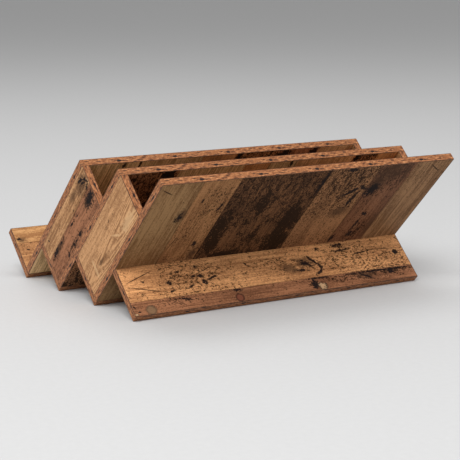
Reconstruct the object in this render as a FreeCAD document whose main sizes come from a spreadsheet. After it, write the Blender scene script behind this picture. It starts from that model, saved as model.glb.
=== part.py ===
"""Zigzag magazine rack: three leaning boards and four short boards, folded into rows of right angles.

Frame: +X along the rack, the front is towards -Y, +Z is up, and the rack stands on z = 0.
The cross-section is drawn in slope coordinates that start at the rear corner on the ground:
u runs up a leaning board (forwards and up), w runs down a short board (forwards and down).
Corner number k on the ground lies at u = k * RISE, w = k * SPAN.
"""
import FreeCAD, Part
import os
import Sketcher

# ---------------------------------------------------------------- driving dimensions, in mm

SIZES = (
    ("rack_length", 660),      # along X, over the end bands
    ("board", 15),             # thickness of every board
    ("leaf_height", 372),      # leaning board, from its corner on the ground to its top edge
    ("clear_gap", 92),         # clear width of a pocket, square to the leaning boards
    ("lip_height", 117),       # rear lip, from its corner on the ground to its upper edge
    ("lean", 45),              # slope of the leaning boards above the ground, in degrees
    ("band", 1),               # thickness of the edge bands
    ("screw_length", 45),
    ("shank_width", 4),        # diameter of a screw below its head
    ("head_width", 8),         # diameter of a screw's countersunk head
    ("head_depth", 2.2),
    ("tip_length", 6),
    ("head_sink", 0.5),        # how far a head lies below the board's face
    ("recess_width", 4.4),     # cross recess in a screw's head
    ("recess_slot", 1),
    ("recess_depth", 1.4),
    ("dowel_length", 30),
    ("dowel_width", 8),        # diameter of a dowel
    ("dowel_bevel", 1),
    ("dowel_web", 1),          # half the wood left between two dowels that meet in one board
    ("bore_gap", 0.05),        # radial clearance of a bore round its screw or dowel
    ("bore_end", 0.5),         # spare depth at the end of a bore
    ("screw_margin", 60),      # outer screws, from the rack's ends
    ("screw_inner", 90),       # inner corner screws, from the middle
    ("dowel_reach", 135),      # shelf dowels, from the middle
    ("panel_margin", 40),      # end panel dowels, from the panel's lower and upper edges
    ("panel_spread", 25),      # lower dowels of an end panel, from the middle of the pocket
)

doc = FreeCAD.newDocument("magazine_rack")
sheet = doc.addObject("Spreadsheet::Sheet", "dims")
for row, (name, value) in enumerate(SIZES, 1):
    sheet.set(f"A{row}", name)
    sheet.set(f"B{row}", str(value))
    sheet.setAlias(f"B{row}", name)
doc.recompute()

COS = "cos(dims.lean * 1deg)"
SIN = "sin(dims.lean * 1deg)"
SPAN = "(dims.clear_gap + dims.board)"                # step along w from corner to corner
RISE = f"({SPAN} * {COS} / {SIN})"                    # step along u that keeps corners level
HALF = "(dims.rack_length / 2)"
SEAT = "(dims.board / 2 - dims.dowel_web)"            # depth of a dowel in a board's face
LAST_LEAF = 2
FRONT = f"(({LAST_LEAF} * {RISE} + dims.leaf_height) * {COS} + {LAST_LEAF} * {SPAN} * {SIN})"
REAR = f"(dims.lip_height * {SIN})"
MIDDLE = f"(({FRONT} - {REAR}) / 2)"                  # from the rear corner to the origin
ALONG_U = "(90 - dims.lean) * 1deg"                   # turn about X that lays local Z along u
ALONG_W = "(180 - dims.lean) * 1deg"                  # turn about X that lays local Z along w

nodes = []


# ---------------------------------------------------------------- helpers

def place(item, turn, along, u, w):
    """Put an object's own origin at x = along on the slope coordinates u, w, turned about X."""
    item.Placement = FreeCAD.Placement(FreeCAD.Vector(), FreeCAD.Rotation(FreeCAD.Vector(1, 0, 0), 45))
    item.setExpression("Placement.Base.x", along)
    item.setExpression("Placement.Base.y", f"{MIDDLE} - (({u}) * {COS} + ({w}) * {SIN})")
    item.setExpression("Placement.Base.z", f"({u}) * {SIN} - ({w}) * {COS}")
    item.setExpression("Placement.Rotation.Angle", turn)


def block(name, turn, corner, size):
    """A box from corner = (x, u, w), with its length, width and height along its own axes."""
    box = doc.addObject("Part::Box", name)
    for side, value in zip(("Length", "Width", "Height"), size):
        box.setExpression(side, value)
    place(box, turn, *corner)
    return box


def group(name, members):
    """Separate solids under one name."""
    item = doc.addObject("Part::Compound", name)
    item.Links = members
    return item


def node(name, item):
    item.Label = name
    nodes.append(item)


def revolved(name, outline):
    """A body turned about its Z axis from an outline of (radius, height) expressions."""
    body = doc.addObject("PartDesign::Body", name)
    sketch = body.newObject("Sketcher::SketchObject", name + "_outline")
    plane = next(f for f in body.Origin.OriginFeatures if f.Role == "XZ_Plane")
    sketch.AttachmentSupport = [(plane, "")]
    sketch.MapMode = "FlatFace"
    evaluated = [[doc.dims.evalExpression(f"1 * ({value})") for value in point] for point in outline]
    points = [FreeCAD.Vector(radius, height, 0) for radius, height in evaluated]
    count = len(points)
    for i in range(count):
        sketch.addGeometry(Part.LineSegment(points[i], points[(i + 1) % count]), False)
    for i in range(count):
        sketch.addConstraint(Sketcher.Constraint("Coincident", i, 2, (i + 1) % count, 1))
    for i, (radius, height) in enumerate(outline):
        offsets = (("DistanceX", radius, points[i].x), ("DistanceY", height, points[i].y))
        for axis, value, place_now in offsets:
            if value == "0":
                line = -2 if axis == "DistanceX" else -1
                sketch.addConstraint(Sketcher.Constraint("PointOnObject", i, 1, line))
            else:
                at = sketch.addConstraint(Sketcher.Constraint(axis, -1, 1, i, 1, place_now))
                sketch.setExpression(f"Constraints[{at}]", value)
    doc.recompute()
    turned = body.newObject("PartDesign::Revolution", name + "_turned")
    turned.Profile = sketch
    turned.ReferenceAxis = (sketch, ["V_Axis"])
    turned.Angle = 360
    sketch.Visibility = False
    doc.recompute()
    return body


def row(name, source, turn, places):
    """Copies of one fastener or bore at (x, u, w)."""
    copies = []
    for number, at in enumerate(places):
        copy = doc.addObject("App::Link", f"{name}_{number + 1}")
        copy.LinkedObject = source
        copy.LinkPlacement = FreeCAD.Placement(
            FreeCAD.Vector(), FreeCAD.Rotation(FreeCAD.Vector(1, 0, 0), 45))
        along, u, w = at
        copy.setExpression("LinkPlacement.Base.x", along)
        copy.setExpression("LinkPlacement.Base.y", f"{MIDDLE} - (({u}) * {COS} + ({w}) * {SIN})")
        copy.setExpression("LinkPlacement.Base.z", f"({u}) * {SIN} - ({w}) * {COS}")
        copy.setExpression("LinkPlacement.Rotation.Angle", turn)
        copies.append(copy)
    return group(name, copies)


def drilled(name, blank, bores):
    """A board with its bores cut out of the blank."""
    cut = doc.addObject("Part::Cut", name + "_drilled")
    cut.Base = blank
    cut.Tool = group(name + "_bores", bores)
    node(name, cut)


# ---------------------------------------------------------------- fasteners and their bores

SHANK = "dims.shank_width / 2"
HEAD = "dims.head_width / 2"
DOWEL = "dims.dowel_width / 2"

screw = revolved("screw", (
    ("0", "0"), (HEAD, "0"), (SHANK, "dims.head_depth"),
    (SHANK, "dims.screw_length - dims.tip_length"), ("0", "dims.screw_length")))
recess = screw.newObject("Sketcher::SketchObject", "recess_cross")
recess.AttachmentSupport = [(next(f for f in screw.Origin.OriginFeatures if f.Role == "XY_Plane"), "")]
recess.MapMode = "FlatFace"
ARM, SLOT = sheet.recess_width / 2, sheet.recess_slot / 2
cross = [(SLOT, ARM), (-SLOT, ARM), (-SLOT, SLOT), (-ARM, SLOT), (-ARM, -SLOT), (-SLOT, -SLOT),
         (-SLOT, -ARM), (SLOT, -ARM), (SLOT, -SLOT), (ARM, -SLOT), (ARM, SLOT), (SLOT, SLOT)]
for i, (x, y) in enumerate(cross):
    after = cross[(i + 1) % len(cross)]
    recess.addGeometry(Part.LineSegment(FreeCAD.Vector(x, y, 0), FreeCAD.Vector(*after, 0)), False)
for i in range(len(cross)):
    recess.addConstraint(Sketcher.Constraint("Coincident", i, 2, (i + 1) % len(cross), 1))
for i, (x, y) in enumerate(cross):
    for axis, value in (("DistanceX", x), ("DistanceY", y)):
        at = recess.addConstraint(Sketcher.Constraint(axis, -1, 1, i, 1, value))
        size = "dims.recess_width" if abs(value) == ARM else "dims.recess_slot"
        recess.setExpression(f"Constraints[{at}]", f"{'-' if value < 0 else ''}{size} / 2")
doc.recompute()
solid_before = screw.Shape.Volume
pocket = screw.newObject("PartDesign::Pocket", "recess_pocket")
pocket.Profile = recess
pocket.Reversed = True
pocket.setExpression("Length", "dims.recess_depth")
recess.Visibility = False
doc.recompute()
if not screw.Shape.Volume < solid_before:
    raise RuntimeError("the cross recess cut nothing")

screw_bore = revolved("screw_bore", (
    ("0", "-dims.head_sink - dims.bore_end"), (HEAD, "-dims.head_sink - dims.bore_end"), (HEAD, "0"),
    (f"{SHANK} + dims.bore_gap", "dims.head_depth"),
    (f"{SHANK} + dims.bore_gap", "dims.screw_length - dims.tip_length + dims.bore_end"),
    ("0", "dims.screw_length + dims.bore_end")))

dowel = revolved("dowel", (
    ("0", "0"), (f"{DOWEL} - dims.dowel_bevel", "0"), (DOWEL, "dims.dowel_bevel"),
    (DOWEL, "dims.dowel_length - dims.dowel_bevel"),
    (f"{DOWEL} - dims.dowel_bevel", "dims.dowel_length"), ("0", "dims.dowel_length")))

dowel_bore = revolved("dowel_bore", (
    ("0", "-dims.bore_end"), (f"{DOWEL} + dims.bore_gap", "-dims.bore_end"),
    (f"{DOWEL} + dims.bore_gap", "dims.dowel_length + dims.bore_end"),
    ("0", "dims.dowel_length + dims.bore_end")))


def fasteners(name, source, bore, turn, places):
    """A node of identical fasteners, and the bores that they sit in."""
    node(name, row(name + "_row", source, turn, places))
    return row(name + "_bores", bore, turn, places)


# ---------------------------------------------------------------- names of the rows

LEAVES = ("leaf_rear", "leaf_middle", "leaf_front")        # leaf k stands on corner k
SHELVES = ("floor_rear", "floor_front", "foot_front")      # shelf k hangs from the front of leaf k
POCKETS = ("rear", "front")                                # pocket k lies over shelf k
SIDES = (("left", -1), ("right", 1))


def corner_u(k):
    return f"{k} * {RISE}"


def corner_w(k):
    return f"{k} * {SPAN}"


bores = {name: [] for name in LEAVES + SHELVES + ("lip_rear",)}
under_leaf = ("lip_rear",) + SHELVES                       # board that carries leaf k
outer_screw = f"({HALF} - dims.screw_margin)"

for k, leaf in enumerate(LEAVES):
    place_name = leaf.removeprefix("leaf_")
    # screws driven up through the short board into the leaf's lower edge
    u = f"{corner_u(k)} + dims.head_sink"
    w = f"{corner_w(k)} - dims.board / 2"
    across = (f"-{outer_screw}", "-dims.screw_inner", "dims.screw_inner", outer_screw)
    holes = fasteners(f"corner_screws_{place_name}", screw, screw_bore, ALONG_U,
                      [(x, u, w) for x in across])
    bores[leaf].append(holes)
    bores[under_leaf[k]].append(holes)

    # screws and dowels through the leaf into the upper edge of its shelf
    u = f"{corner_u(k + 1)} + dims.board / 2"
    w = f"{corner_w(k)} - dims.board + dims.head_sink"
    holes = fasteners(f"shelf_screws_{place_name}", screw, screw_bore, ALONG_W,
                      [(x, u, w) for x in (f"-{outer_screw}", "0", outer_screw)])
    bores[leaf].append(holes)
    bores[SHELVES[k]].append(holes)
    w = f"{corner_w(k)} - {SEAT}"
    holes = fasteners(f"shelf_dowels_{place_name}", dowel, dowel_bore, ALONG_W,
                      [(x, u, w) for x in ("-dims.dowel_reach", "dims.dowel_reach")])
    bores[leaf].append(holes)
    bores[SHELVES[k]].append(holes)


# ---------------------------------------------------------------- end panels of the two pockets

for k, pocket_name in enumerate(POCKETS):
    base = f"({corner_u(k + 1)} + dims.board)"
    top = f"({corner_u(k)} + dims.leaf_height)"
    back = f"({corner_w(k)})"
    middle = f"({back} + dims.clear_gap / 2)"
    for side, sign in SIDES:
        name = f"end_{pocket_name}_{side}"
        inner_face = f"-{HALF}" if sign < 0 else f"{HALF} - dims.board"
        along = f"{sign} * ({HALF} - dims.board / 2)"
        lower = row(name + "_lower", dowel, ALONG_U, [
            (along, f"{base} - {SEAT}", f"{middle} {shift} dims.panel_spread") for shift in "-+"])
        lower_bores = row(name + "_lower_bores", dowel_bore, ALONG_U, [
            (along, f"{base} - {SEAT}", f"{middle} {shift} dims.panel_spread") for shift in "-+"])
        heights = (f"{base} + dims.panel_margin", f"{top} - dims.panel_margin")
        start_back = f"{back} - {SEAT}"
        start_front = f"{back} + dims.clear_gap - dims.dowel_length + {SEAT}"
        edges, edge_bores = [], []
        for edge, start in (("back", start_back), ("fore", start_front)):
            places = [(along, height, start) for height in heights]
            edges.append(row(f"{name}_{edge}", dowel, ALONG_W, places))
            edge_bores.append(row(f"{name}_{edge}_bores", dowel_bore, ALONG_W, places))
        node(f"{name}_dowels", group(name + "_all_dowels", [lower] + edges))
        bores[SHELVES[k]].append(lower_bores)
        bores[LEAVES[k]].append(edge_bores[0])
        bores[LEAVES[k + 1]].append(edge_bores[1])

        blank = block(name + "_blank", ALONG_U, (inner_face, base, f"{back} + dims.clear_gap"),
                      ("dims.board", "dims.clear_gap", f"{top} - dims.band - {base}"))
        drilled(name, blank, [lower_bores] + edge_bores)
        node(f"{name}_band", block(
            name + "_top_band", ALONG_U, (inner_face, f"{top} - dims.band", f"{back} + dims.clear_gap"),
            ("dims.board", "dims.clear_gap", "dims.band")))


# ---------------------------------------------------------------- long boards with their edge bands

CORE = "dims.rack_length - 2 * dims.band"
CORE_START = f"-{HALF} + dims.band"


def end_bands(name, turn, corner, width):
    """The two bands on a board's short ends; corner = (u, w) of the board's own origin."""
    starts = (f"-{HALF}", f"{HALF} - dims.band")
    return [block(f"{name}_end_band_{i + 1}", turn, (start,) + corner, ("dims.band", width, "dims.board"))
            for i, start in enumerate(starts)]


for k, leaf in enumerate(LEAVES):
    foot = f"{corner_u(k)} + dims.board"
    under = f"{corner_w(k)} - dims.board"
    width = "dims.leaf_height - dims.board - dims.band"
    blank = block(leaf + "_blank", ALONG_W, (CORE_START, foot, under), (CORE, width, "dims.board"))
    drilled(leaf, blank, bores[leaf])
    top = f"{corner_u(k)} + dims.leaf_height - dims.band"
    top_band = block(leaf + "_top_band", ALONG_W, (f"-{HALF}", top, under),
                     ("dims.rack_length", "dims.band", "dims.board"))
    leaf_bands = [top_band] + end_bands(leaf, ALONG_W, (foot, under), width)
    node(leaf + "_bands", group(leaf + "_band_set", leaf_bands))

for k, shelf in enumerate(SHELVES):
    low = corner_u(k + 1)
    edge = f"{corner_w(k + 1)} - dims.band"
    width = f"{SPAN} - dims.band"
    blank = block(shelf + "_blank", ALONG_U, (CORE_START, low, edge), (CORE, width, "dims.board"))
    drilled(shelf, blank, bores[shelf])
    low_band = block(shelf + "_low_band", ALONG_U, (f"-{HALF}", low, corner_w(k + 1)),
                     ("dims.rack_length", "dims.band", "dims.board"))
    shelf_bands = [low_band] + end_bands(shelf, ALONG_U, (low, edge), width)
    node(shelf + "_bands", group(shelf + "_band_set", shelf_bands))

lip_width = "dims.lip_height - 2 * dims.band"
blank = block("lip_rear_blank", ALONG_U, (CORE_START, "0", "-dims.band"), (CORE, lip_width, "dims.board"))
drilled("lip_rear", blank, bores["lip_rear"])
lip_bands = [block(f"lip_rear_{edge}_band", ALONG_U, (f"-{HALF}", "0", w),
                   ("dims.rack_length", "dims.band", "dims.board"))
             for edge, w in (("low", "0"), ("top", "-dims.lip_height + dims.band"))]
node("lip_rear_bands", group("lip_rear_band_set",
                             lip_bands + end_bands("lip_rear", ALONG_U, ("0", "-dims.band"), lip_width)))


# ---------------------------------------------------------------- check and write

doc.recompute()
for item in doc.Objects:
    if {"Invalid", "Error"} & set(item.State):
        raise RuntimeError(f"{item.Label}: {item.State}")
for item in nodes:
    if item.Shape.isNull() or not item.Shape.isValid():
        raise RuntimeError(f"{item.Label} has no valid shape")
os.makedirs("parts", exist_ok=True)
for item in nodes:
    item.Shape.exportStep(f"parts/{item.Label}.step")
    box = item.Shape.BoundBox
    print(f"{item.Label}: {len(item.Shape.Solids)} solid(s), {item.Shape.Volume:.0f} mm3, "
          f"z {box.ZMin:.2f} to {box.ZMax:.2f}")
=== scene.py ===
import math

import bmesh
import bpy
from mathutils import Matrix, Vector


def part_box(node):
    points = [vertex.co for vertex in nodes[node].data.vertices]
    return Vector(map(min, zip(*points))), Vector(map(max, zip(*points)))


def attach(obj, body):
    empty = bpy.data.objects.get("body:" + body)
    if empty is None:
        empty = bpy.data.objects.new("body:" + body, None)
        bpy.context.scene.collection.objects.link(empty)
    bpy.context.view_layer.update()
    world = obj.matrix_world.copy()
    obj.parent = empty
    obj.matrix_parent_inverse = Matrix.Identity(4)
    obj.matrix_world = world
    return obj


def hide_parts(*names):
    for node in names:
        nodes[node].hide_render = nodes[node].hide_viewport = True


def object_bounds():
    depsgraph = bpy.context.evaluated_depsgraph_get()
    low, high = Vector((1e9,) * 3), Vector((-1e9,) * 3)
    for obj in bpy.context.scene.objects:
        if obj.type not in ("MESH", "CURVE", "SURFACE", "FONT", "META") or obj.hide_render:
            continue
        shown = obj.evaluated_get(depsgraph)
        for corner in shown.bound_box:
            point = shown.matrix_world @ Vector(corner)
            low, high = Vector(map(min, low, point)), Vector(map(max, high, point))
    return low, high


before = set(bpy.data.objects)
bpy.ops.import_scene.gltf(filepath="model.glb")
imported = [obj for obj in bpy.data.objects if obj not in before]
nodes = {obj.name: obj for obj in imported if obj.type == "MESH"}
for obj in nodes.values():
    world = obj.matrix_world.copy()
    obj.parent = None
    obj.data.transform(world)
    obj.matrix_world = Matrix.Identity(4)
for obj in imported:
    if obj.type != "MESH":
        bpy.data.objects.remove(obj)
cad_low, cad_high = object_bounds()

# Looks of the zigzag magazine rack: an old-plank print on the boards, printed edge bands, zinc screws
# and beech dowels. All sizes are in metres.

# ---------------------------------------------------------------- slope coordinates, read from the frame
# u runs up a leaning board and w down a short one, both from the rear corner on the ground.

HALF_TURN = math.sqrt(0.5)                       # sine and cosine of the 45-degree slopes
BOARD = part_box("end_rear_left")[1].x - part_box("end_rear_left")[0].x
CORNER_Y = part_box("lip_rear_bands")[0].y + BOARD * HALF_TURN
SPAN = (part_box("leaf_rear")[0].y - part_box("leaf_middle")[0].y) * HALF_TURN    # step in u and in w
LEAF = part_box("leaf_rear_bands")[1].z / HALF_TURN - BOARD                     # up to a leaf's top edge
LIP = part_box("lip_rear_bands")[1].z / HALF_TURN - BOARD                       # up to the rear lip's top
HALF = cad_high.x                                # from the middle to the rack's end
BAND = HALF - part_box("leaf_rear")[1].x           # thickness of an edge band
EASED = 0.0003                                   # round on a band's edges
ALONG_U = Vector((0, -HALF_TURN, HALF_TURN))
ALONG_W = Vector((0, -HALF_TURN, -HALF_TURN))


# ---------------------------------------------------------------- a short way to write shader nodes

class Graph:
    """Adds nodes to one material; most calls return the socket that they make."""

    def __init__(self, name):
        self.material = bpy.data.materials.new(name)
        self.material.use_nodes = True
        self.tree = self.material.node_tree
        self.tree.nodes.clear()

    def node(self, kind, inputs=(), **settings):
        made = self.tree.nodes.new(kind)
        for key, value in settings.items():
            setattr(made, key, value)
        for key, value in dict(inputs).items():
            self.feed(made.inputs[key], value)
        return made

    def feed(self, socket, value):
        if isinstance(value, bpy.types.NodeSocket):
            self.tree.links.new(value, socket)
        else:
            socket.default_value = value

    def math(self, operation, a, b=0.0, c=0.0):
        return self.node("ShaderNodeMath", {0: a, 1: b, 2: c}, operation=operation).outputs[0]

    def vector(self, x, y, z=0.0):
        return self.node("ShaderNodeCombineXYZ", {0: x, 1: y, 2: z}).outputs[0]

    def vector_math(self, operation, a, b=(0, 0, 0)):
        made = self.node("ShaderNodeVectorMath", {0: a, 1: b}, operation=operation)
        return made.outputs["Value" if operation == "DOT_PRODUCT" else "Vector"]

    def noise(self, vector, detail=3.0, roughness=0.55):
        made = self.node("ShaderNodeTexNoise", {"Vector": vector, "Scale": 1.0, "Detail": detail,
                                                "Roughness": roughness})
        return made.outputs["Fac"]

    def remap(self, value, low, high, to_low=0.0, to_high=1.0, smooth=True):
        made = self.node("ShaderNodeMapRange", {"Value": value, "From Min": low, "From Max": high,
                                                "To Min": to_low, "To Max": to_high},
                         interpolation_type="SMOOTHSTEP" if smooth else "LINEAR")
        return made.outputs["Result"]

    def mix(self, factor, a, b):
        made = self.node("ShaderNodeMix", data_type="RGBA")
        for index, value in ((0, factor), (6, a), (7, b)):
            self.feed(made.inputs[index], value)
        return made.outputs[2]

    def steps(self, value, stops, smooth=False):
        """A ramp node, colour by value: stops is a list of (position from 0 to 1, colour)."""
        made = self.node("ShaderNodeValToRGB", {0: value})
        ramp = made.color_ramp
        ramp.interpolation = "LINEAR" if smooth else "CONSTANT"
        while len(ramp.elements) > 1:
            ramp.elements.remove(ramp.elements[-1])
        ramp.elements[0].position = stops[0][0]
        ramp.elements[0].color = rgba(stops[0][1])
        for position, colour in stops[1:]:
            ramp.elements.new(position).color = rgba(colour)
        return made

    def ellipse(self, vector, mark):
        """1 in the middle, 0 on the outline: mark is (x, y, half length, half width, angle)."""
        x, y, half_length, half_width, angle = mark
        cos, sin = math.cos(math.radians(angle)), math.sin(math.radians(angle))
        squares = -1.0
        for axis, half in (((cos, sin, 0.0), half_length), ((-sin, cos, 0.0), half_width)):
            start = (x * axis[0] + y * axis[1]) / half
            steps = self.vector_math("DOT_PRODUCT", vector, tuple(part / half for part in axis))
            away = self.math("SUBTRACT", steps, start)
            squares = self.math("MULTIPLY_ADD", away, away, squares)
        return self.math("MULTIPLY", squares, -1.0)

    def surface(self, colour, roughness, height, depth, specular):
        bump = self.node("ShaderNodeBump", {"Height": height, "Strength": 1.0, "Distance": depth})
        shader = self.node("ShaderNodeBsdfPrincipled", {
            "Base Color": colour, "Roughness": roughness, "Normal": bump.outputs[0],
            "Specular IOR Level": specular})
        self.node("ShaderNodeOutputMaterial", {"Surface": shader.outputs[0]})
        return self.material


def rgba(colour):
    """The colour with full opacity, unless it already has a fourth part."""
    return (*colour, 1.0) if len(colour) == 3 else colour


def slope_sockets(graph):
    """Sockets for x, u and w at the shaded point."""
    place = graph.node("ShaderNodeTexCoord").outputs["Object"]
    offset = graph.vector_math("SUBTRACT", place, (0, CORNER_Y, 0))
    x = graph.node("ShaderNodeSeparateXYZ", {0: place}).outputs[0]
    u = graph.vector_math("DOT_PRODUCT", offset, tuple(ALONG_U))
    w = graph.vector_math("DOT_PRODUCT", offset, tuple(ALONG_W))
    return {"x": x, "u": u, "w": w}


# ---------------------------------------------------------------- the old-plank print
# Each kind of plank: light tone, deep tone, then how strong its specks, mottling and straight grain are.

PLANKS = {
    "straw": ((0.56, 0.325, 0.158), (0.28, 0.145, 0.065), 0.25, 0.05, 0.9),
    "fawn": ((0.575, 0.312, 0.147), (0.27, 0.130, 0.056), 0.45, 0.10, 1.0),
    "olive": ((0.51, 0.292, 0.130), (0.25, 0.122, 0.050), 0.25, 0.10, 0.9),
    "tan": ((0.44, 0.215, 0.090), (0.20, 0.088, 0.036), 0.75, 0.22, 0.6),
    "spotted": ((0.42, 0.20, 0.088), (0.17, 0.078, 0.035), 1.0, 0.34, 0.5),
    "russet": ((0.37, 0.160, 0.078), (0.16, 0.064, 0.031), 0.5, 0.36, 0.8),
    "drab": ((0.56, 0.37, 0.19), (0.27, 0.165, 0.075), 0.1, 0.12, 1.0),
    "umber": ((0.34, 0.152, 0.066), (0.10, 0.043, 0.020), 0.9, 1.0, 0.6),
    "honey": ((0.58, 0.31, 0.130), (0.30, 0.135, 0.052), 0.1, 0.1, 0.9),
}
SOOT = (0.017, 0.0085, 0.0045)                   # dark print in specks, mottling and seams
INK = (0.010, 0.0075, 0.0080)                    # darkest print, in knots and stains
MARK_TONES = {                                   # tone, strength, softness, raggedness, dark rim
    "smudge": ((0.07, 0.034, 0.018), 0.75, 0.6, 3.0, 0.0),
    "ash": ((0.19, 0.115, 0.062), 0.8, 0.12, 0.8, 0.35),
    "pale": ((0.66, 0.42, 0.22), 0.6, 0.4, 3.0, 0.0),
    "blot": (INK, 0.95, 0.16, 4.8, 0.0),
    "crack": ((0.03, 0.015, 0.009), 0.95, 0.35, 1.4, 0.0),
    "knot": (INK, 0.95, 0.14, 0.9, 0.0),
    "disc": ((0.17, 0.055, 0.030), 0.9, 0.10, 0.7, 0.6),
    "chip": ((0.52, 0.33, 0.18), 0.85, 0.14, 3.0, 0.85),
}
MOTTLE_MARKS = (("murk", -0.15), ("clear", 0.13))    # marks that add or thin out the mottling
SPECK_MARKS = (("pepper", 1.0), ("dust", 0.5))       # marks that add specks
MOST_SPECKS = 1.3                                # where such marks overlap
MOTTLE_DARKNESS, SPECK_DARKNESS = 0.93, 0.85     # 1 would be plain soot
LAYER_STEP = 40.0                                # keeps the noise of neighbouring planks apart
RING_STEP = 0.055                                # from ring to ring of an arched grain
SEAM_HALF = 0.0011                               # from a seam's middle to its outline
PRINT_GLOSS, PRINT_RELIEF = 0.06, 0.00011


def plank_print(name, across, along, low, high, planks, marks=(), seed=0.0, figure=None, fine=1.0):
    """A printed face: planks run along one slope coordinate, side by side across the other.

    low, high: the face's extent across the planks; planks: (start, kind, how light), where how light
    scales the plank's tones and on some faces also holds painted shade or painted light;
    marks: (kind, across, along, half length, half width, angle in degrees), the length being measured
    along the planks; figure: (middle, tip, bend) of an arched grain; fine: below 1, lines and specks
    are wider apart.
    """
    graph = Graph(name)
    coordinate = slope_sockets(graph)
    a, g = coordinate[across], coordinate[along]
    share = graph.remap(a, low, high, smooth=False)
    starts = [max(0.0, (plank[0] - low) / (high - low)) for plank in planks]
    kinds = [PLANKS[plank[1]] for plank in planks]
    # how light (plank[2]) scales both tones: the plank's own lightness, and on some faces painted shade
    # or painted light
    tones = [[tuple(part * plank[2] for part in kind[i]) for plank, kind in zip(planks, kinds)]
             for i in (0, 1)]
    light = graph.steps(share, list(zip(starts, tones[0]))).outputs[0]
    deep = graph.steps(share, list(zip(starts, tones[1]))).outputs[0]
    own_layers = [(0.37 * i + 0.11) % 1.0 for i in range(len(planks))]
    traits = graph.steps(share, [(start, (*kind[2:], own_layer))
                                 for start, kind, own_layer in zip(starts, kinds, own_layers)])
    split = graph.node("ShaderNodeSeparateColor", {0: traits.outputs[0]})
    specks, mottle, grain = split.outputs
    layer = graph.math("MULTIPLY_ADD", traits.outputs[1], LAYER_STEP, seed)

    def noise_at(across_scale, along_scale, extra, detail=3.0, roughness=0.55):
        third = graph.math("ADD", layer, extra)
        place = graph.vector(graph.math("MULTIPLY", a, across_scale),
                             graph.math("MULTIPLY", g, along_scale), third)
        return graph.noise(place, detail, roughness)

    # grain: lines drawn out along the plank, clouds across them, and a fine grit
    lines = noise_at(230 * fine, 6.5, 3.0, 3.0, 0.6)
    hairs = noise_at(560 * fine, 22, 5.0, 3.0, 0.7)
    cloud = noise_at(24, 9, 11.0, 5.0, 0.6)
    grit = noise_at(380 * fine, 220 * fine, 6.0, 4.0, 0.8)
    drawn = graph.math("MULTIPLY_ADD", hairs, 2.2, graph.math("MULTIPLY_ADD", lines, 3.4, -2.8))
    if figure:
        rings = arched_rings(graph, a, g, cloud, *figure)
        drawn = graph.math("MULTIPLY_ADD", rings, 0.42, graph.math("MULTIPLY", drawn, 0.75))
    depth = graph.math("MULTIPLY_ADD", drawn, grain, graph.math("MULTIPLY_ADD", cloud, 1.9, -0.45))
    depth = graph.math("MULTIPLY_ADD", graph.math("SUBTRACT", grit, 0.5), 2.9, depth)
    colour = graph.mix(graph.remap(depth, 0.0, 1.0, smooth=False), light, deep)

    # dark mottling, in patches drawn out along the grain
    patch = noise_at(110, 46, 17.0, 4.0, 0.85)
    patch = graph.math("MULTIPLY_ADD", graph.math("SUBTRACT", grit, 0.5), 0.75, patch)
    edge = graph.math("MULTIPLY_ADD", mottle, -0.235, 0.73)
    spot = graph.vector(g, a)
    for kind, change in MOTTLE_MARKS:
        field = gathered(graph, spot, marks, kind)
        if field:
            edge = graph.math("MULTIPLY_ADD", graph.remap(field, -0.5, 0.6), change, edge)
    dark = graph.remap(graph.math("SUBTRACT", patch, edge), -0.025, 0.045)
    dark = graph.math("MULTIPLY", dark, MOTTLE_DARKNESS)

    # specks: pin holes and short dashes, thicker in some areas than in others
    crowd = noise_at(15, 11, 23.0, 2.0)
    pins = noise_at(300 * fine, 180 * fine, 29.0, 4.0, 0.7)
    reach = graph.math("MULTIPLY", graph.remap(crowd, 0.34, 0.60), specks)
    for kind, change in SPECK_MARKS:
        field = gathered(graph, spot, marks, kind)
        if field:
            reach = graph.math("MULTIPLY_ADD", graph.remap(field, -0.8, 0.7), change, reach)
    reach = graph.math("MINIMUM", reach, MOST_SPECKS)
    pin = graph.remap(graph.math("MULTIPLY_ADD", reach, 0.125, pins), 0.665, 0.725)
    dark = graph.math("MAXIMUM", dark, graph.math("MULTIPLY", pin, SPECK_DARKNESS))

    # seams between planks, fainter in places
    seams = graph.steps(share, seam_stops(starts[1:], high - low), smooth=True).outputs[0]
    worn = noise_at(20, 60, 31.0)
    seam = graph.math("MULTIPLY", seams, graph.remap(worn, 0.35, 0.6, 0.25, 0.9))
    dark = graph.math("MAXIMUM", dark, seam)
    colour = graph.mix(dark, colour, rgba(SOOT))

    # marks placed one by one, with ragged outlines
    ragged = graph.math("SUBTRACT", noise_at(210, 140, 37.0, 5.0, 0.8), 0.5)
    for kind, (tone, strength, soft, rough, rim) in MARK_TONES.items():
        cover = gathered(graph, spot, marks, kind)
        if not cover:
            continue
        torn = graph.math("MULTIPLY_ADD", ragged, rough, cover)
        inked = graph.math("MULTIPLY", graph.remap(torn, -soft, soft), strength)
        colour = graph.mix(inked, colour, rgba(tone))
        if rim:
            away = graph.math("ABSOLUTE", graph.math("SUBTRACT", torn, 0.05))
            colour = graph.mix(graph.remap(away, 0.34, 0.05, 0.0, rim), colour, rgba(INK))
        else:
            dark = graph.math("MAXIMUM", dark, inked)

    # gloss and relief: dark print is duller, and the pores run along the plank
    pores = noise_at(900, 60, 41.0, 2.0, 0.7)
    roughness = graph.math("MULTIPLY_ADD", grit, 0.22, graph.math("MULTIPLY_ADD", dark, 0.12, 0.44))
    height = graph.math("MULTIPLY_ADD", pores, 0.5, graph.math("MULTIPLY_ADD", lines, 0.8, grit))
    return graph.surface(colour, roughness, height, PRINT_RELIEF, PRINT_GLOSS)


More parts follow.
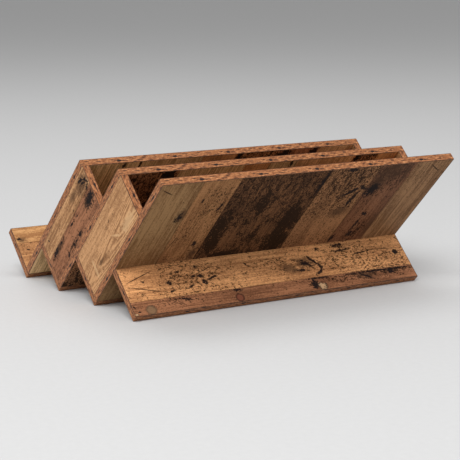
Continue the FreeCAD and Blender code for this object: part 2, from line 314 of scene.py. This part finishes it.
def arched_rings(graph, a, g, cloud, middle, tip, bend):
    """Rings of a grain that arches over the line a = middle, shaken by the clouds; from -1 to 1."""
    side = graph.math("SUBTRACT", a, middle)
    rise = graph.math("MULTIPLY_ADD", graph.math("MULTIPLY", side, side), -bend, g)
    turns = graph.math("MULTIPLY_ADD", rise, math.tau / RING_STEP, graph.math("MULTIPLY", cloud, 9.0))
    return graph.math("SINE", graph.math("SUBTRACT", turns, tip * math.tau / RING_STEP))


def gathered(graph, spot, marks, kind):
    """How deep a point lies in the marks of one kind: 1 in the middle, 0 on an outline.

    Returns None if the face has no mark of that kind.
    """
    squares = None
    for mark in marks:
        if mark[0] == kind:
            inside = graph.ellipse(spot, (mark[2], mark[1], *mark[3:]))
            squares = graph.math("MAXIMUM", inside, squares) if squares else inside
    if not squares:
        return None
    away = graph.math("SQRT", graph.math("SUBTRACT", 1.0, squares))
    return graph.math("SUBTRACT", 1.0, away)


def seam_stops(starts, span):
    """Ramp stops with a narrow peak at each start."""
    width = SEAM_HALF / span
    stops = [(0.0, (0, 0, 0))]
    for start in starts:
        stops += [(start - width, (0, 0, 0)), (start, (1, 1, 1)), (start + width * 0.5, (0, 0, 0))]
    return stops


# ---------------------------------------------------------------- the edge-band print

BAND_REPEAT = 0.1245                             # the print repeats along a band
FLECK_OFF = 0.0015                               # flecks lie a little off the band's middle
BAND_MARKS = (                                   # along, across, half length, half width, strength
    (0.0, 0.0, 0.0056, 0.0024, 1.0), (0.0105, 0.0004, 0.0065, 0.0011, 0.85),
    (-0.0150, -0.0024, 0.0028, 0.0013, 0.75), (-0.0080, -0.0008, 0.0040, 0.0010, 0.7),
    (0.0450, 0.0012, 0.0080, 0.0013, 0.6), (-0.0450, -0.0017, 0.0056, 0.0013, 0.65),
    (0.0250, -0.0044, 0.0070, 0.0010, 0.7), (-0.0300, 0.0037, 0.0075, 0.0010, 0.7),
    (0.0330, 0.0042, 0.0040, 0.0013, 0.75), (-0.0560, 0.0040, 0.0060, 0.0010, 0.6),
    (0.0550, -0.0040, 0.0045, 0.0014, 0.7),
)
BAND_TONES = (
    (0.0, (0.56, 0.265, 0.118)), (0.35, (0.38, 0.155, 0.062)), (0.65, (0.24, 0.090, 0.036)),
    (1.0, (0.09, 0.034, 0.016)))
# dark print for the flecks and dashes, and painted shade for the seams at the band's edges
BAND_INK_AND_SHADE = (0.018, 0.012, 0.012)
BAND_GLOSS, BAND_RELIEF = 0.14, 0.00008
SEAM_SHADE_INNER, SEAM_SHADE_OUTER = BOARD / 2 - 0.0014, BOARD / 2 - 0.0002    # painted shade: the band darkens towards its edges, for the shadow in the seam where it meets the board


def band_print(name, along, across, phase, middle):
    """Orange-brown edge band: fine grain along it and a group of dark flecks that repeats, with painted
    shade along its edges.

    phase: where a group of flecks lies along the band; middle: the band's middle line across it.
    """
    graph = Graph(name)
    coordinate = slope_sockets(graph)
    g, a = coordinate[along], coordinate[across]
    folded = graph.math("WRAP", graph.math("SUBTRACT", g, phase), BAND_REPEAT / 2, -BAND_REPEAT / 2)
    centred = graph.math("SUBTRACT", a, middle + FLECK_OFF)

    def noise_at(along_scale, across_scale, layer, detail=4.0, roughness=0.7):
        place = graph.vector(graph.math("MULTIPLY", g, along_scale),
                             graph.math("MULTIPLY", centred, across_scale), layer)
        return graph.noise(place, detail, roughness)

    fine = noise_at(60, 520, 1.0)
    broad = noise_at(130, 260, 5.0, roughness=0.75)
    tone = graph.math("ADD", graph.math("MULTIPLY", fine, 0.5), graph.math("MULTIPLY", broad, 0.6))
    tone = graph.remap(tone, 0.42, 0.68, smooth=False)
    colour = graph.steps(tone, BAND_TONES, smooth=True).outputs[0]
    spot = graph.vector(folded, centred)
    ragged = graph.math("SUBTRACT", noise_at(260, 520, 9.0, detail=3.0), 0.5)
    dark = None
    for *mark, strength in BAND_MARKS:
        torn = graph.math("MULTIPLY_ADD", ragged, 3.4, graph.ellipse(spot, (*mark, 0)))
        fleck = graph.math("MULTIPLY", graph.remap(torn, -0.25, 0.3), strength)
        dark = graph.math("MAXIMUM", fleck, dark) if dark else fleck
    dashes = graph.remap(noise_at(150, 480, 13.0), 0.575, 0.65, 0.0, 0.8)
    dark = graph.math("MAXIMUM", dark, dashes)
    # painted shade: darker towards the band's edges, standing for the shadow in the seam between band and
    # board
    rim = graph.math("ABSOLUTE", graph.math("SUBTRACT", a, middle))
    dark = graph.math("MAXIMUM", dark, graph.remap(rim, SEAM_SHADE_INNER, SEAM_SHADE_OUTER, 0.0, 0.85))
    colour = graph.mix(dark, colour, rgba(BAND_INK_AND_SHADE))
    roughness = graph.math("MULTIPLY_ADD", fine, 0.14, 0.42)
    height = graph.math("SUBTRACT", fine, graph.math("MULTIPLY", dark, 0.6))
    return graph.surface(colour, roughness, height, BAND_RELIEF, BAND_GLOSS)


# ---------------------------------------------------------------- plain materials

def chipboard():
    """Bare core: pale flakes of mixed tones."""
    graph = Graph("chipboard_core")
    place = graph.node("ShaderNodeTexCoord").outputs["Object"]
    flakes = graph.node("ShaderNodeTexVoronoi", {"Vector": place, "Scale": 700.0}).outputs["Color"]
    tint = graph.node("ShaderNodeSeparateColor", {0: flakes}).outputs[0]
    tones = ((0.0, (0.22, 0.13, 0.065)), (0.5, (0.42, 0.28, 0.15)), (1.0, (0.58, 0.42, 0.25)))
    colour = graph.steps(tint, tones, smooth=True).outputs[0]
    return graph.surface(colour, 0.85, tint, 0.0003, 0.2)


def zinc():
    """Plated steel, hazy and scuffed across the screw."""
    graph = Graph("zinc_plate")
    place = graph.node("ShaderNodeTexCoord").outputs["Object"]
    scuff = graph.noise(graph.vector_math("MULTIPLY", place, (2600.0, 900.0, 900.0)), 4.0, 0.7)
    haze = graph.noise(graph.vector_math("MULTIPLY", place, (350.0, 350.0, 350.0)))
    tones = ((0.3, (0.42, 0.40, 0.36)), (0.7, (0.66, 0.65, 0.62)))
    colour = graph.steps(haze, tones, smooth=True).outputs[0]
    bump = graph.node("ShaderNodeBump", {"Height": scuff, "Strength": 0.6, "Distance": 0.00005})
    roughness = graph.remap(scuff, 0.2, 0.8, 0.24, 0.46)
    shader = graph.node("ShaderNodeBsdfPrincipled", {
        "Base Color": colour, "Roughness": roughness, "Metallic": 1.0, "Normal": bump.outputs[0]})
    graph.node("ShaderNodeOutputMaterial", {"Surface": shader.outputs[0]})
    return graph.material


def beech():
    """Plain dowel wood."""
    graph = Graph("beech_dowel")
    place = graph.node("ShaderNodeTexCoord").outputs["Object"]
    fibre = graph.noise(graph.vector_math("MULTIPLY", place, (500.0, 120.0, 120.0)), 4.0, 0.6)
    tones = ((0.3, (0.50, 0.33, 0.18)), (0.7, (0.68, 0.49, 0.30)))
    colour = graph.steps(fibre, tones, smooth=True).outputs[0]
    return graph.surface(colour, 0.6, fibre, 0.0001, 0.3)


# ---------------------------------------------------------------- layouts of the printed faces
# Planks are (start, kind, how light), and marks (kind, across, along, half length, half width, angle in
# degrees); on some faces how light also holds painted shade or painted light. On a leaning board across
# is x and along is u; on a short board across is w and along is x.
# The planks of the shelves and of the end panels' inner faces start from 0 at the board's own edge.

WIDE = (-HALF, HALF)
# painted shade: how light (0.56 to 0.90) prints this whole face darker than its plank kinds, standing for
# the shade on this down-facing face; the spread between planks is their own tone
FRONT_FACE = (
    (-0.330, "olive", 0.63), (-0.245, "tan", 0.88), (-0.166, "umber", 0.56), (0.036, "spotted", 0.90),
    (0.152, "russet", 0.66), (0.238, "fawn", 0.59))
FRONT_MARKS = (
    ("pepper", 0.095, 0.560, 0.045, 0.070, 0), ("dust", -0.190, 0.455, 0.150, 0.032, 0),
    ("pepper", 0.115, 0.500, 0.040, 0.034, 0), ("pepper", 0.190, 0.560, 0.045, 0.040, 0),
    ("murk", 0.190, 0.575, 0.050, 0.045, 0), ("murk", 0.172, 0.520, 0.040, 0.020, 0),
    ("murk", 0.205, 0.372, 0.035, 0.016, 0),
    ("dust", 0.095, 0.450, 0.120, 0.055, 0), ("dust", 0.195, 0.440, 0.120, 0.040, 0),
    ("dust", 0.290, 0.540, 0.060, 0.040, 0),
    ("blot", -0.255, 0.482, 0.011, 0.006, 12), ("smudge", -0.252, 0.489, 0.020, 0.009, 5),
    ("blot", -0.224, 0.527, 0.007, 0.0022, 0), ("crack", -0.311, 0.563, 0.015, 0.0013, -57),
    ("blot", -0.183, 0.388, 0.009, 0.004, -15), ("smudge", -0.176, 0.355, 0.020, 0.008, 0),
    ("blot", -0.176, 0.505, 0.012, 0.0025, 12), ("crack", -0.236, 0.400, 0.017, 0.0009, 8),
    ("murk", -0.148, 0.430, 0.050, 0.015, 0), ("murk", -0.138, 0.380, 0.024, 0.012, 0),
    ("murk", 0.008, 0.430, 0.065, 0.024, 10), ("murk", 0.012, 0.362, 0.034, 0.026, 0),
    ("murk", -0.080, 0.500, 0.034, 0.012, -8), ("murk", -0.055, 0.400, 0.020, 0.009, 20),
    ("murk", -0.095, 0.342, 0.010, 0.034, 0), ("blot", 0.031, 0.550, 0.030, 0.0030, 0),
    ("clear", 0.022, 0.478, 0.026, 0.009, -20), ("murk", 0.098, 0.560, 0.075, 0.055, 0),
    ("clear", -0.110, 0.392, 0.026, 0.018, 0), ("clear", -0.045, 0.480, 0.016, 0.012, 0),
    ("clear", -0.067, 0.430, 0.020, 0.008, 0), ("clear", -0.030, 0.410, 0.018, 0.020, 0),
    ("blot", 0.118, 0.508, 0.022, 0.0050, 54), ("blot", 0.142, 0.520, 0.014, 0.0050, -50),
    ("blot", 0.133, 0.482, 0.024, 0.0045, 8), ("smudge", 0.122, 0.445, 0.016, 0.020, 0),
    ("blot", 0.084, 0.581, 0.006, 0.012, 0), ("blot", 0.170, 0.508, 0.018, 0.013, 25),
    ("smudge", 0.172, 0.530, 0.030, 0.018, 0), ("blot", 0.196, 0.428, 0.010, 0.0055, -45),
    ("blot", 0.193, 0.393, 0.020, 0.0030, 8), ("blot", 0.195, 0.360, 0.009, 0.0055, 0),
    ("blot", 0.156, 0.352, 0.012, 0.0045, 12), ("smudge", 0.190, 0.565, 0.030, 0.030, 0),
    ("smudge", 0.229, 0.555, 0.040, 0.0045, 0), ("smudge", 0.232, 0.385, 0.050, 0.006, 0),
    ("crack", 0.296, 0.563, 0.019, 0.0012, -53))

# painted light: how light (1.3 to 2.0) prints these planks lighter than their kinds to make up for the
# shade deep in their pocket; the spread between planks is their own tone
MIDDLE_FACE = (
    (-0.330, "umber", 1.3), (-0.205, "drab", 1.35), (-0.060, "tan", 1.7), (0.000, "drab", 1.5),
    (0.062, "straw", 1.7), (0.200, "umber", 2.0), (0.262, "tan", 1.9))
MIDDLE_MARKS = (
    ("blot", -0.225, 0.470, 0.030, 0.015, 0), ("blot", 0.052, 0.470, 0.014, 0.004, 0),
    ("crack", -0.136, 0.455, 0.030, 0.0008, 8), ("blot", 0.212, 0.475, 0.020, 0.005, 0))

# painted light: how light (1.4 to 1.7) prints these planks lighter than their kinds to make up for the
# shade deep in their pocket; the spread between planks is their own tone
REAR_FACE = (
    (-0.330, "drab", 1.55), (-0.250, "drab", 1.4), (-0.060, "tan", 1.7), (0.020, "umber", 1.6),
    (0.128, "russet", 1.4), (0.225, "straw", 1.6))
REAR_MARKS = (
    ("blot", -0.236, 0.365, 0.014, 0.0035, 0), ("blot", -0.201, 0.362, 0.016, 0.0025, 0),
    ("blot", 0.030, 0.360, 0.020, 0.006, 0), ("blot", 0.142, 0.355, 0.024, 0.014, 0),
    ("blot", 0.216, 0.362, 0.022, 0.009, 0))

BACK_FACE = (
    (-0.330, "russet", 0.9), (-0.248, "spotted", 1.0), (-0.120, "straw", 0.85), (-0.020, "umber", 1.0),
    (0.118, "tan", 0.9), (0.230, "olive", 0.9))
BACK_MARKS = (
    ("blot", -0.205, 0.270, 0.012, 0.006, 10), ("smudge", -0.200, 0.285, 0.026, 0.012, 0),
    ("blot", -0.290, 0.180, 0.008, 0.005, 0), ("crack", -0.075, 0.320, 0.024, 0.0009, 30),
    ("murk", 0.050, 0.220, 0.050, 0.022, 0), ("clear", 0.070, 0.300, 0.034, 0.020, 0),
    ("blot", 0.165, 0.150, 0.010, 0.005, 20), ("smudge", 0.270, 0.240, 0.020, 0.010, 0))

SHELF_UPPER_FACE = ((0.0, "spotted", 1.0), (0.058, "umber", 1.0))
SHELF_LOWER_FACE = ((0.0, "russet", 0.9), (0.047, "straw", 0.55))
# the upper plank's how light (1.68) is partly its own light tone and partly painted light that makes up
# for the shade of the leaf above the foot
FOOT_FACE = ((0.0, "tan", 1.68), (0.0762, "russet", 0.9))
FOOT_MARKS = (
    ("pepper", 0.2350, 0.210, 0.1100, 0.0240, 0), ("pepper", 0.2600, 0.160, 0.0500, 0.0200, 0),
    ("dust", 0.2500, -0.150, 0.2000, 0.0400, 0),
    ("pepper", 0.2560, 0.082, 0.0260, 0.0160, 0), ("pepper", 0.3010, 0.200, 0.1100, 0.0080, 0),
    ("pepper", 0.3000, -0.210, 0.0500, 0.0090, 0), ("pepper", 0.2600, 0.250, 0.0900, 0.0300, 0),
    ("murk", 0.2980, 0.235, 0.1200, 0.0130, 0), ("murk", 0.3040, 0.075, 0.0120, 0.0140, 0),
    ("pepper", 0.2600, -0.165, 0.0300, 0.0120, 0),
    ("crack", 0.2385, -0.291, 0.031, 0.0010, -19), ("crack", 0.2665, -0.288, 0.037, 0.0011, 15.5),
    ("blot", 0.2495, -0.286, 0.0035, 0.0022, 20), ("blot", 0.2370, -0.208, 0.0060, 0.0018, 0),
    ("blot", 0.2585, -0.233, 0.0055, 0.0040, 30), ("blot", 0.2310, -0.166, 0.0040, 0.0026, -20),
    ("blot", 0.2775, -0.235, 0.0045, 0.0022, -20), ("blot", 0.2725, -0.191, 0.0060, 0.0020, -22),
    ("blot", 0.2515, -0.179, 0.0050, 0.0026, -20), ("blot", 0.2520, -0.164, 0.0055, 0.0038, 20),
    ("blot", 0.2655, -0.158, 0.0070, 0.0050, 0), ("blot", 0.2590, -0.140, 0.0150, 0.0019, -16),
    ("crack", 0.2390, -0.146, 0.0150, 0.0010, -20), ("blot", 0.2390, -0.056, 0.0040, 0.0022, 50),
    ("blot", 0.2440, -0.051, 0.0060, 0.0014, 15), ("smudge", 0.2620, 0.038, 0.0190, 0.0110, 20),
    ("smudge", 0.2530, 0.078, 0.0220, 0.0130, 0), ("blot", 0.2700, 0.066, 0.0160, 0.0026, 6),
    ("blot", 0.2560, 0.080, 0.0120, 0.0060, 20), ("blot", 0.2500, 0.098, 0.0140, 0.0034, 50),
    ("blot", 0.2650, 0.110, 0.0100, 0.0040, 62), ("blot", 0.2790, 0.103, 0.0120, 0.0030, -26),
    ("blot", 0.2255, 0.121, 0.0060, 0.0035, -15), ("blot", 0.2355, 0.180, 0.0170, 0.0026, -3),
    ("blot", 0.2225, 0.171, 0.0120, 0.0042, 0), ("blot", 0.2465, 0.222, 0.0230, 0.0011, -6),
    ("knot", 0.2555, 0.306, 0.0062, 0.0060, 0), ("crack", 0.2440, 0.270, 0.0400, 0.0010, 3),
    ("ash", 0.3110, -0.293, 0.0105, 0.0095, 0), ("blot", 0.2945, -0.098, 0.0110, 0.0030, 0),
    ("disc", 0.3110, -0.100, 0.0085, 0.0085, 0), ("blot", 0.3060, 0.080, 0.0080, 0.0110, 0),
    ("blot", 0.2925, 0.090, 0.0260, 0.0020, 0), ("chip", 0.3115, 0.094, 0.0095, 0.0085, 0),
    ("blot", 0.2975, -0.215, 0.0150, 0.0020, 15), ("blot", 0.3010, -0.325, 0.0040, 0.0018, 60),
    ("blot", 0.3120, -0.318, 0.0030, 0.0018, 0), ("smudge", 0.3000, 0.205, 0.0240, 0.0070, 12),
    ("blot", 0.3040, 0.208, 0.0140, 0.0022, 25), ("blot", 0.2940, 0.245, 0.0800, 0.0016, 0),
    ("blot", 0.2990, 0.272, 0.0080, 0.0050, 0), ("chip", 0.3170, -0.326, 0.0040, 0.0022, 0))

# The outer print of an end panel is laid out across in w and along in u, from the ground corner of the
# leaning board behind its pocket.
END_REAR_FACE = ((0.0, "fawn", 0.97), (0.042, "russet", 0.95))
END_REAR_MARKS = (
    ("murk", 0.062, 0.345, 0.034, 0.018, -10), ("murk", 0.024, 0.348, 0.028, 0.016, 0),
    ("murk", 0.084, 0.245, 0.045, 0.007, 0), ("murk", 0.048, 0.170, 0.045, 0.007, 0),
    ("blot", 0.062, 0.349, 0.017, 0.010, -12), ("smudge", 0.060, 0.345, 0.022, 0.013, 0),
    ("blot", 0.014, 0.345, 0.012, 0.0032, 22), ("blot", 0.025, 0.362, 0.010, 0.0032, 58),
    ("blot", 0.037, 0.359, 0.009, 0.0036, -28), ("blot", 0.024, 0.350, 0.008, 0.0022, 30),
    ("smudge", 0.022, 0.342, 0.026, 0.016, 0),
    ("smudge", 0.016, 0.300, 0.018, 0.008, 0), ("blot", 0.084, 0.269, 0.008, 0.0042, 15),
    ("blot", 0.084, 0.238, 0.016, 0.0020, 0), ("blot", 0.085, 0.200, 0.007, 0.0040, 0),
    ("blot", 0.048, 0.190, 0.009, 0.0028, 0), ("blot", 0.048, 0.156, 0.013, 0.0050, 0),
    ("smudge", 0.049, 0.175, 0.030, 0.006, 0), ("blot", 0.052, 0.284, 0.006, 0.0020, 20),
    ("blot", 0.050, 0.254, 0.007, 0.0022, 15), ("blot", 0.012, 0.146, 0.004, 0.0016, 60))
END_FRONT_FACE = ((0.0, "fawn", 0.99),)
END_FRONT_MARKS = (
    ("pale", 0.062, 0.165, 0.004, 0.020, 0), ("pale", 0.066, 0.278, 0.016, 0.0022, 35),
    ("smudge", 0.066, 0.193, 0.012, 0.004, 0), ("pale", 0.075, 0.333, 0.030, 0.010, 0))
END_FRONT_ARCH = (0.068, 0.183, 300.0)           # middle, tip and bend of its grain
END_PRINTS = ((END_REAR_FACE, END_REAR_MARKS, None), (END_FRONT_FACE, END_FRONT_MARKS, END_FRONT_ARCH))
END_INNER_FACE = ((0.0, "tan", 0.8), (0.05, "olive", 0.8))

LIP_FACE = ((-LIP, "honey", 1.0), (-LIP + 0.040, "tan", 1.2))
LIP_LOWER_FACE = ((-LIP, "spotted", 1.0), (-0.05, "russet", 1.0))
LIP_MARKS = (
    ("blot", -0.088, -0.321, 0.005, 0.003, 0), ("smudge", -0.085, -0.316, 0.010, 0.007, 0),
    ("blot", -0.060, -0.309, 0.004, 0.0018, 10), ("blot", -0.070, 0.120, 0.012, 0.006, 0),
    ("crack", -0.095, 0.020, 0.030, 0.0010, 6), ("smudge", -0.050, -0.120, 0.030, 0.008, 0))


def swapped(planks):
    """The same planks from the other end, for a face printed the other way round."""
    ends = [plank[0] for plank in planks[1:]] + [HALF]
    return tuple((-end, kind, tone) for end, (_, kind, tone) in reversed(list(zip(ends, planks))))


def mirrored(marks):
    """The same marks from the other end, in x."""
    return tuple((mark[0], -mark[1], *mark[2:5], -mark[5]) for mark in marks)


def planks_from(edge, planks):
    """Planks that are laid out from 0, moved to begin at an edge."""
    return tuple((start + edge, kind, tone) for start, kind, tone in planks)


def shifted(marks, along, across=0.0):
    """The same marks, moved along and across their planks."""
    return tuple((mark[0], mark[1] + across, mark[2] + along, *mark[3:]) for mark in marks)


# ---------------------------------------------------------------- pieces that stand for CAD nodes

core = chipboard()
FLAT_ON = 0.99                                   # cosine above which a face looks along an axis


def stand_in(node, mesh, materials):
    """A piece made from a mesh that takes a CAD node's place."""
    for material in materials:
        mesh.materials.append(material)
    piece = bpy.data.objects.new(mesh.name, mesh)
    bpy.context.scene.collection.objects.link(piece)
    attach(piece, "root")
    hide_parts(node)


def printed_board(node, axis, prints):
    """A board with one print on the face that looks along axis, one on the other, and a bare core."""
    mesh = nodes[node].data.copy()
    mesh.name = node + "_printed"
    mesh.materials.clear()
    for polygon in mesh.polygons:
        facing = polygon.normal.dot(axis)
        polygon.material_index = 0 if facing > FLAT_ON else 1 if facing < -FLAT_ON else 2
        polygon.use_smooth = False
    stand_in(node, mesh, [*prints, core])


def banded_edges(node, strips, materials):
    """Edge bands with eased edges. strips: (low corner, high corner, material), corners as (x, u, w)."""
    work = bmesh.new()
    for low_corner, high_corner, material in strips:
        made = bmesh.ops.create_cube(work, size=1.0)["verts"]
        for vertex in made:
            x, u, w = (low_corner[i] if vertex.co[i] < 0 else high_corner[i] for i in range(3))
            vertex.co = Vector((x, CORNER_Y, 0)) + ALONG_U * u + ALONG_W * w
        work.normal_update()
        faces = {face for vertex in made for face in vertex.link_faces}
        for face in faces:
            face.material_index = material
        bmesh.ops.recalc_face_normals(work, faces=list(faces))
        bmesh.ops.bevel(work, geom=list({edge for face in faces for edge in face.edges}), offset=EASED,
                        offset_type="OFFSET", segments=2, profile=0.5, affect="EDGES")
    mesh = bpy.data.meshes.new(node + "_eased")
    work.to_mesh(mesh)
    work.free()
    stand_in(node, mesh, materials)


# ---------------------------------------------------------------- printed boards
# A seed is any number: it keeps the noise of one print apart from that of the others.

LEAVES = ("leaf_rear", "leaf_middle", "leaf_front")
SHELVES = ("floor_rear", "floor_front", "foot_front")
POCKETS = ("rear", "front")
FRONT_PRINTS = ((REAR_FACE, REAR_MARKS), (MIDDLE_FACE, MIDDLE_MARKS), (FRONT_FACE, FRONT_MARKS))
SEED_STEP = 3.0

for k, leaf in enumerate(LEAVES):
    planks, marks = FRONT_PRINTS[k]
    front = plank_print(leaf + "_front_print", "x", "u", *WIDE, planks, marks, seed=SEED_STEP * k)
    # the middle board's back has the same print from the other end
    planks = BACK_FACE if k != 1 else swapped(BACK_FACE)
    marks = BACK_MARKS if k != 1 else mirrored(BACK_MARKS)
    back = plank_print(leaf + "_back_print", "x", "u", *WIDE, planks, shifted(marks, k * SPAN),
                       seed=20.0 + SEED_STEP * k)
    printed_board(leaf, ALONG_W, (front, back))

for k, shelf in enumerate(SHELVES):
    start, stop = k * SPAN, (k + 1) * SPAN
    if shelf == "foot_front":
        planks, marks = FOOT_FACE, FOOT_MARKS
    else:
        planks, marks = SHELF_UPPER_FACE, ()
    upper = plank_print(shelf + "_upper_print", "w", "x", start, stop, planks_from(start, planks), marks,
                        seed=40.0 + SEED_STEP * k)
    lower = plank_print(shelf + "_lower_print", "w", "x", start, stop,
                        planks_from(start, SHELF_LOWER_FACE), seed=60.0 + SEED_STEP * k)
    printed_board(shelf, ALONG_U, (upper, lower))

lip_upper = plank_print("lip_rear_upper_print", "w", "x", -LIP, 0.0, LIP_FACE, LIP_MARKS, seed=80.0)
lip_lower = plank_print("lip_rear_lower_print", "w", "x", -LIP, 0.0, LIP_LOWER_FACE, seed=83.0)
printed_board("lip_rear", ALONG_U, (lip_upper, lip_lower))


def end_print(name, k, layout, seed):
    """The print on the outer face of an end panel of pocket k."""
    planks, marks, arch = layout
    step = k * SPAN
    figure = (arch[0] + step, arch[1] + step, arch[2]) if arch else None
    return plank_print(name, "w", "u", step, step + SPAN - BOARD, planks_from(step, planks),
                       shifted(marks, step, step), seed, figure, fine=0.6)


for k, pocket in enumerate(POCKETS):
    start, stop = k * SPAN, (k + 1) * SPAN - BOARD
    left = end_print(f"end_{pocket}_left_outer_print", k, END_PRINTS[k], 100.0 + SEED_STEP * k)
    right = end_print(f"end_{pocket}_right_outer_print", k, END_PRINTS[1 - k], 110.0 + SEED_STEP * k)
    inner = plank_print(f"end_{pocket}_inner_print", "w", "u", start, stop,
                        planks_from(start, END_INNER_FACE), seed=120.0 + SEED_STEP * k)
    printed_board(f"end_{pocket}_left", Vector((-1, 0, 0)), (left, inner))
    printed_board(f"end_{pocket}_right", Vector((1, 0, 0)), (right, inner))

# ---------------------------------------------------------------- edge bands
# Where a group of flecks lies: in x on the long bands, up from the ground corner on a leaning board's
# ends, down from the upper edge on a short board's ends, and from the rear edge on an end panel.

LEAF_TOP_FLECKS, LEAF_END_FLECKS = 0.001, LEAF - 0.042
SHELF_LOW_FLECKS, SHELF_END_FLECKS = 0.031, 0.05
LIP_LONG_FLECKS, LIP_END_FLECKS = -0.019, 0.04
PANEL_TOP_FLECKS = 0.046
INNER = HALF - BAND                              # where an end band meets the board


def three_sides(edge_u, edge_w, far):
    """Strips on the far edge and on both ends of a board; edge_u and edge_w are its (low, high) extents.

    far names the axis on which the far edge lies: "u" for its high end, "w" for its high end.
    """
    (u0, u1), (w0, w1) = edge_u, edge_w
    if far == "u":
        strips = [((-HALF, u1 - BAND, w0), (HALF, u1, w1), 0)]
        u1 -= BAND
    else:
        strips = [((-HALF, u0, w1 - BAND), (HALF, u1, w1), 0)]
        w1 -= BAND
    for left, right in ((-HALF, -INNER), (INNER, HALF)):
        strips.append(((left, u0, w0), (right, u1, w1), 1))
    return strips


for k, leaf in enumerate(LEAVES):
    start = k * SPAN
    middle = start - BOARD / 2
    top = band_print(leaf + "_top_band_print", "x", "w", LEAF_TOP_FLECKS, middle)
    end = band_print(leaf + "_end_band_print", "u", "w", LEAF_END_FLECKS + start, middle)
    strips = three_sides((start + BOARD, start + LEAF), (start - BOARD, start), "u")
    banded_edges(leaf + "_bands", strips, (top, end))

for k, shelf in enumerate(SHELVES):
    start, stop = k * SPAN, (k + 1) * SPAN
    edge = band_print(shelf + "_low_band_print", "x", "u", SHELF_LOW_FLECKS, stop + BOARD / 2)
    end = band_print(shelf + "_end_band_print", "w", "u", start + SHELF_END_FLECKS, stop + BOARD / 2)
    strips = three_sides((stop, stop + BOARD), (start, stop), "w")
    banded_edges(shelf + "_bands", strips, (edge, end))

lip_long = band_print("lip_rear_long_band_print", "x", "u", LIP_LONG_FLECKS, BOARD / 2)
lip_end = band_print("lip_rear_end_band_print", "w", "u", -LIP + LIP_END_FLECKS, BOARD / 2)
lip_strips = three_sides((0.0, BOARD), (-LIP + BAND, 0.0), "w")
lip_strips.append(((-HALF, 0.0, -LIP), (HALF, BOARD, -LIP + BAND), 0))
banded_edges("lip_rear_bands", lip_strips, (lip_long, lip_end))

for k, pocket in enumerate(POCKETS):
    start, stop = k * SPAN, (k + 1) * SPAN - BOARD
    top = start + LEAF
    for side, sign in (("left", -1), ("right", 1)):
        name = f"end_{pocket}_{side}_band"
        left, right = sorted((sign * HALF, sign * (HALF - BOARD)))
        strip = ((left, top - BAND, start), (right, top, stop), 0)
        material = band_print(name + "_print", "w", "x", start + PANEL_TOP_FLECKS,
                              sign * (HALF - BOARD / 2))
        banded_edges(name, [strip], (material,))

# ---------------------------------------------------------------- fasteners

steel, wood = zinc(), beech()
for name, part in nodes.items():
    if "screws" in name or "dowels" in name:
        part.data.materials.clear()
        part.data.materials.append(steel if "screws" in name else wood)


# ---------------------------------------------------------------- floor, lights and camera

FLOOR_REACH = 40.0                               # far enough for its edge never to show
SKY = 0.50                                       # strength of the even light from all around


def floor():
    """A pale, dull floor at z = 0."""
    graph = Graph("floor_paint")
    place = graph.node("ShaderNodeTexCoord").outputs["Object"]
    grit = graph.noise(graph.vector_math("MULTIPLY", place, (90.0, 90.0, 90.0)))
    tones = ((0.0, (0.53, 0.53, 0.53)), (1.0, (0.57, 0.57, 0.57)))
    colour = graph.steps(grit, tones, smooth=True).outputs[0]
    graph.surface(colour, 0.8, grit, 0.0001, 0.2)
    mesh = bpy.data.meshes.new("floor")
    corners = [(x * FLOOR_REACH, y * FLOOR_REACH, 0) for x, y in ((-1, -1), (1, -1), (1, 1), (-1, 1))]
    mesh.from_pydata(corners, [], [(0, 1, 2, 3)])
    mesh.materials.append(graph.material)
    plane = bpy.data.objects.new("floor", mesh)
    bpy.context.scene.collection.objects.link(plane)


def aimed(item, place, direction):
    """Adds a lamp or camera to the scene at a place, looking in a direction."""
    item.location = place
    item.rotation_mode = "QUATERNION"
    item.rotation_quaternion = direction.to_track_quat("-Z", "Y")
    bpy.context.scene.collection.objects.link(item)


def softbox(name, place, aim, side, power):
    """A square lamp of a given side, in metres, and power, in watts."""
    data = bpy.data.lights.new(name, "AREA")
    data.shape = "RECTANGLE"
    data.size, data.size_y = side, side
    data.energy = power
    aimed(bpy.data.objects.new(name, data), place, Vector(aim) - Vector(place))


floor()
world = bpy.data.worlds.new("studio")
world.use_nodes = True
world.node_tree.nodes["Background"].inputs[0].default_value = (1.0, 1.0, 1.0, 1.0)
world.node_tree.nodes["Background"].inputs[1].default_value = SKY
bpy.context.scene.world = world
bpy.context.scene.view_settings.view_transform = "Standard"
softbox("key", (-4.1, -3.9, 5.9), (0, 0, 0.1), 4.4, 600)
softbox("top", (0.5, 1.5, 6.0), (0, 0.5, 0.1), 4.4, 110)

AIM = Vector((0.033, 0.026, 0.098))              # the point that the camera looks at
AZIMUTH, ELEVATION = math.radians(-32.82), math.radians(10.12)
DISTANCE = 3.0                                   # from that point to the camera
LENS, SENSOR = 113.4, 36.0                       # focal length and sensor width, in millimetres
backward = Vector((math.sin(AZIMUTH) * math.cos(ELEVATION), -math.cos(AZIMUTH) * math.cos(ELEVATION),
                   math.sin(ELEVATION)))         # from the aim towards the camera
camera_data = bpy.data.cameras.new("camera")
camera_data.sensor_width = SENSOR
camera_data.lens = LENS
camera = bpy.data.objects.new("camera", camera_data)
aimed(camera, AIM + backward * DISTANCE, -backward)
bpy.context.scene.camera = camera
